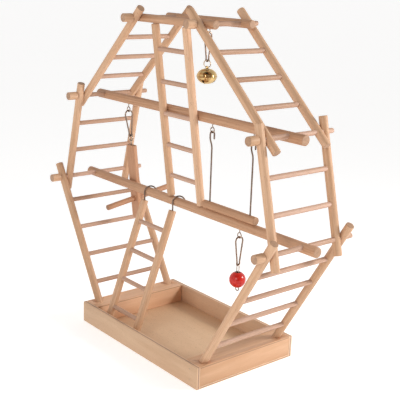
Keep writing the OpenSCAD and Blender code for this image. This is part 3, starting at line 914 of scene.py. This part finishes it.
def swing_wires():
    """Open hooks over the eyes, a kink back under the pivot, and straight drops into the seat."""
    hook_r = 3.2 * MM
    tail = 6 * MM
    straight = 14 * MM
    soft_bend = 5 * MM
    shape = Shape()
    y = bars_of("swing_seat")[0]["p"].y
    for points in solids("swing_wires"):
        low, high = Vector(points.min(0)), Vector(points.max(0))
        wire_r = (high.x - low.x) / 2
        x = (low.x + high.x) / 2
        top = Vector((x, y, high.z - wire_r - hook_r))
        foot = Vector((x, y, low.z + wire_r))
        hook = arc(top, Y, Z, hook_r, 0, 180, 20)
        tip = top + Y * hook_r - Z * tail
        kink = [top - Y * hook_r, top - Y * hook_r - Z * tail, top - Z * straight, foot]
        shape.add(*tube([tip] + hook + rounded(kink, soft_bend, 8)[1:], wire_r))
    return wire_object("swing_wires", shape)


def ladder_hooks():
    """Wire hooks that leave the loose ladder's rails and arch over the low perch."""
    hook_r = 8.2 * MM
    wire_r = 0.95 * MM
    in_rail = 11 * MM
    past_rail = 1 * MM
    soft_bend = 4 * MM
    tail = 30
    yaw = math.radians(28)
    across = Vector((math.sin(yaw), math.cos(yaw), 0))
    perch = bars_of("low_perch")[0]
    shape = Shape()
    for side in SIDES:
        rail = bars_of(f"loose_ladder_{side}_rail")[0]
        top, foot = sorted((rail["p"], rail["q"]), key=lambda p: -p.z)
        up = (top - foot).normalized()
        start = Vector((top.x, perch["p"].y - hook_r * math.cos(yaw), perch["p"].z))
        bend = arc(start + across * hook_r, across, Z, hook_r, 180, -tail, 40)
        leg = rounded([top - up * in_rail, top + up * past_rail, start], soft_bend, 8)
        shape.add(*tube(leg[:-1] + bend, wire_r))
    return wire_object("loose_ladder_hooks", shape)


def block_eye():
    low, high = box_in(block_frame, "block_eye")
    wire_r = (high.y - low.y) / 2
    ring_r = (high.x - low.x) / 2 - wire_r
    centre = block_frame @ Vector((0, 0, high.z - wire_r - ring_r))
    stem_end = block_frame @ Vector((0, 0, low.z + wire_r))
    return wire_piece("block_eye", eye_on_stem(centre, ring_r, X, block_up, stem_end, wire_r, 28), wire_r,
                      eye_nickel)


def bead_wire():
    """A long loop of wire whose two legs pass down through the bead and open into a stop below it."""
    low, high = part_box("bead_wire")
    leg = 1.9 * MM
    leg_steps = 12
    stop_r = (high.x - low.x) / 2 - LOOP_WIRE_R
    middle = Vector(((low.x + high.x) / 2, (low.y + high.y) / 2, 0))
    top = middle + Z * (high.z - LOOP_WIRE_R - leg)
    stop = middle + Z * (low.z + LOOP_WIRE_R + stop_r)
    turn = math.degrees(math.acos(leg / stop_r))
    upper = arc(top, X, Z, leg, 0, 180, 20)
    lower = arc(stop, X, Z, stop_r, 180 - turn, 360 + turn, 30)
    path = []
    for stretch, after in ((upper, lower[0]), (lower, upper[0])):
        path.extend(stretch)
        path.extend(stretch[-1].lerp(after, i / leg_steps) for i in range(1, leg_steps))
    return wire_piece("bead_wire", path, LOOP_WIRE_R, eye_nickel, closed=True)


# ---- Bell -----------------------------------------------------------------------------------------


RING_FLAT = 0.48
LOOP_R = 2.2 * MM
BRASS_WIRE_R = 0.75 * MM
BELL_RIM = 0.5 * MM
BELL_WALL = 0.7 * MM
SLOT_W = 1.2 * MM
SLOT_HOLE_R = 1.5 * MM
SLOT_HOLE_HEIGHT = 0.56

bell_hinge = Vector(joint["bell_tilt"]["axis"])
bell_across = Z.cross(bell_hinge).normalized()


def bell_ring():
    """A split ring: two turns of flattened wire that lie on each other."""
    low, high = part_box("bell_ring")
    ring_r = (high.z - low.z) / 2 - LOOP_WIRE_R
    centre = (low + high) / 2
    turns = 2
    steps = 44
    path = []
    for i in range(turns * steps + 1):
        turn = 2 * math.pi * i / steps
        lift = LOOP_WIRE_R * (i / (turns * steps) - 0.5)
        out = bell_hinge * math.cos(turn) + Z * math.sin(turn)
        path.append(centre + out * ring_r + bell_across * lift)
    return wire_piece("bell_ring", path, LOOP_WIRE_R, ring_nickel, flat=RING_FLAT, flat_along=bell_across)


def bell_loop():
    low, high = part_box("bell_loop")
    centre = Vector(((low.x + high.x) / 2, (low.y + high.y) / 2, high.z - BRASS_WIRE_R - LOOP_R))
    path = arc(centre, bell_across, Z, LOOP_R, -12, 192, 28)
    return brass_piece("bell_loop", Shape().add(*tube(path, BRASS_WIRE_R)), WIRE_SHARP)


def brass_piece(node, shape, sharp):
    piece = new_object(node + "_brass", shape.mesh(node + "_brass"), bell_brass, sharp)
    return stand_for(piece, node)


def bell_section(radius, height):
    """Half a hollow shell in one closed turn, from its inner to its outer face round a rolled lip."""
    lip_r = BELL_RIM / 2
    steps = 22
    turns = [math.pi / 2 * i / steps for i in range(steps)]
    outer = [(radius * math.cos(t), height * math.sin(t)) for t in turns[1:]] + [(0.0, height)]
    inner_r, inner_h = radius - BELL_WALL, height - BELL_WALL
    inner = [(inner_r * math.cos(t), inner_h * math.sin(t)) for t in turns] + [(0.0, inner_h)]
    outer = [point for point in outer if point[1] > 2 * lip_r]
    lip = quarter(radius + BELL_RIM - lip_r, lip_r, lip_r, -90, 90, 8)
    return outer[::-1] + lip[::-1] + inner


def bell_shell(node, flip):
    """A pressed half of the bell. flip is the lower half, which has the slots."""
    low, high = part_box(node)
    radius = (high.x - low.x) / 2 - BELL_RIM
    height = high.z - low.z
    centre = Vector(((low.x + high.x) / 2, (low.y + high.y) / 2, high.z if flip else low.z))
    turn = math.atan2(bell_hinge.y, bell_hinge.x)
    place = Matrix.Translation(centre) @ Matrix.Rotation(turn, 4, "Z")
    if flip:
        place = place @ Matrix.Rotation(math.pi, 4, "X")
    shape = Shape().add(*lathe(bell_section(radius, height), TURNED_SIDES, place))
    piece = brass_piece(node, shape, BRASS_SHARP)
    if flip:
        cut_out(piece, slot_shape(place, radius, height), crossing=True)
        resharpen(piece, BRASS_SHARP)
    return piece


def slot_shape(place, radius, height):
    """Two crossed slots over the lower pole, each ending in round holes."""
    hole_sides = 32
    hole_z = height * SLOT_HOLE_HEIGHT
    reach = radius * 1.5
    shape = Shape()
    for turn in (Matrix.Identity(4), Matrix.Rotation(math.pi / 2, 4, "Z")):
        box = box_shape(Vector((-reach, -SLOT_W / 2, hole_z)), Vector((reach, SLOT_W / 2, height * 2)))
        shape.add([place @ turn @ v for v in box.verts], box.faces)
        profile = [(0, 0), (SLOT_HOLE_R, 0), (SLOT_HOLE_R, 2 * reach), (0, 2 * reach)]
        side = Matrix.Translation((-reach, 0, hole_z)) @ Matrix.Rotation(math.pi / 2, 4, "Y")
        shape.add(*lathe(profile, hole_sides, place @ turn @ side))
    return shape


# ---- Bead -----------------------------------------------------------------------------------------


BORE_R = 3.0 * MM
MOUTH_EASE = 0.7 * MM


def bead():
    """A lacquered round bead whose bore has softly rounded mouths."""
    low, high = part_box("bead")
    radius = (high.x - low.x) / 2
    half = (high.z - low.z) / 2
    centre = (low + high) / 2
    reach = 0.94 * math.asin(half / radius)
    steps = 40
    outer = []
    for i in range(steps + 1):
        turn = -reach + 2 * reach * i / steps
        outer.append((radius * math.cos(turn), radius * math.sin(turn)))
    ease = MOUTH_EASE
    mouth = half - 0.2 * ease
    bore = [(BORE_R + 0.7 * ease, mouth - 0.3 * ease), (BORE_R + 0.2 * ease, mouth - 1.5 * ease),
            (BORE_R, mouth - 2.5 * ease)]
    inner = bore + [(r, -z) for r, z in reversed(bore)]
    shape = Shape().add(*closed_lathe(outer + inner, TURNED_SIDES, Matrix.Translation(centre)))
    piece = new_object("bead_lacquered", shape.mesh("bead_lacquered"), bead_red, WIRE_SHARP)
    # Marks the bore and its mouths, which get near-black painted shade for the hole's shadow, over unpainted
    # wood
    bare_wood_and_shade = piece.data.attributes.new("bare_wood_and_shade", "FLOAT", "POINT")
    for vertex in piece.data.vertices:
        out = (vertex.co - centre).xy.length
        bare_wood_and_shade.data[vertex.index].value = 1.0 if out < BORE_R + 0.8 * ease else 0.0
    return stand_for(piece, "bead")


screw_eyes()
clip("bell")
clip("bead")
clip("block", block_frame.to_3x3())
swing_wires()
ladder_hooks()
block_eye()
bead_wire()
bell_ring()
bell_loop()
bell_shell("bell_upper_shell", False)
bell_shell("bell_lower_shell", True)
bead()
for node in ("brads", "bell_pellet"):
    slots = frame["nodes"][node].data.materials
    slots.clear()
    slots.append(nail_steel)

# ---- Floor, light and camera ----------------------------------------------------------------------

FLOOR_HALF = 30.0
FLOOR_GLOW = 0.5
PAPER = (0.82, 0.82, 0.82)
PALER_PAPER = (0.84, 0.84, 0.84)

# The room's light near the floor and from this height up, and what is left of it in the dim part
ROOM_COLOR = (1.0, 0.99, 0.98)
LOW_LIGHT = 1.15
HIGH_LIGHT = 0.68
HIGH_FROM = 0.8
DIM_AZIMUTH = 58
DIM_ELEVATION = 42
DIM_EDGE = 0.62
DIM_CORE = 0.76
DIM_LEFT = 0.06

WARM = (1.0, 0.97, 0.93)
NEUTRAL = (1.0, 0.985, 0.965)

CAMERA_AZIMUTH = 50.06
CAMERA_ELEVATION = 15.24
CAMERA_ROLL = 1.96
CAMERA_DISTANCE = 1.0613
CAMERA_LENS = 74.53
CAMERA_TARGET = Vector((0.0, 0.0209, 0.1857))


def direction(azimuth, elevation):
    """Unit vector in degrees: azimuth 0 is in front of the stand, 90 to its right."""
    a, e = math.radians(azimuth), math.radians(elevation)
    return Vector((math.sin(a) * math.cos(e), -math.cos(a) * math.cos(e), math.sin(e)))


def floor():
    """A pale paper sweep that glows a little, as on a lit product table."""
    far = FLOOR_HALF
    shape = Shape().add([(-far, -far, 0), (far, -far, 0), (far, far, 0), (-far, far, 0)], [(0, 1, 2, 3)])
    n = Nodes(bpy.data.materials.new("floor_paper"))
    cloud = n.noise(n.coordinates("Object"), scale=3.0)
    n.finish(Specular_IOR_Level=0.1, Emission_Color=(1.0, 1.0, 1.0), Emission_Strength=FLOOR_GLOW)
    paper = n.finish(Base_Color=n.mix(cloud, PAPER, PALER_PAPER), Roughness=0.9)
    ground = bpy.data.objects.new("floor", shape.mesh("floor"))
    ground.data.materials.append(paper)
    bpy.context.scene.collection.objects.link(ground)


def world():
    """A white studio, a little dimmer overhead, with a dim part of the room in front of the stand."""
    n = Nodes(bpy.data.worlds.new("studio"))
    bpy.context.scene.world = n.owner
    place = n.coordinates("Generated")
    height = n.remap(n.separate(place)[2], 0.0, HIGH_FROM, LOW_LIGHT, HIGH_LIGHT)
    dim = direction(DIM_AZIMUTH, DIM_ELEVATION)
    toward = n.new("ShaderNodeVectorMath", place, dim, operation="DOT_PRODUCT").outputs["Value"]
    left = n.remap(toward, DIM_EDGE, DIM_CORE, 1.0, DIM_LEFT)
    n.fill(n.tree.nodes["Background"], Color=ROOM_COLOR, Strength=n.math("MULTIPLY", height, left))


def aim(thing, place, roll=0.0):
    """Puts a lamp or camera at a place, turned towards the camera's target."""
    thing.location = place
    thing.rotation_mode = "QUATERNION"
    turn = (place - CAMERA_TARGET).to_track_quat("Z", "Y").to_matrix()
    thing.rotation_quaternion = (turn @ Matrix.Rotation(math.radians(roll), 3, "Z")).to_quaternion()
    bpy.context.scene.collection.objects.link(thing)


def softbox(name, azimuth, distance, height, size, power, color):
    """A square soft light that faces the stand: azimuth 0 stands in front of it, 90 to its right."""
    data = bpy.data.lights.new(name, "AREA")
    data.shape = "SQUARE"
    data.size = size
    data.energy = power
    data.color = color
    aim(bpy.data.objects.new(name, data), direction(azimuth, 0) * distance + Z * height)


def camera():
    data = bpy.data.cameras.new("camera")
    data.lens = CAMERA_LENS
    data.sensor_width = 36.0
    data.clip_start = 0.05
    data.clip_end = 200.0
    made = bpy.data.objects.new("camera", data)
    back = direction(CAMERA_AZIMUTH, CAMERA_ELEVATION)
    aim(made, CAMERA_TARGET + back * CAMERA_DISTANCE, CAMERA_ROLL)
    bpy.context.scene.camera = made


floor()
world()
softbox("key", azimuth=132, distance=0.7, height=0.42, size=0.16, power=3.0, color=WARM)
softbox("side", azimuth=75, distance=1.05, height=0.8, size=0.6, power=0.4, color=NEUTRAL)
softbox("fill", azimuth=30, distance=1.25, height=0.7, size=0.4, power=5.2, color=NEUTRAL)
camera()
bpy.context.scene.view_settings.view_transform = "Standard"
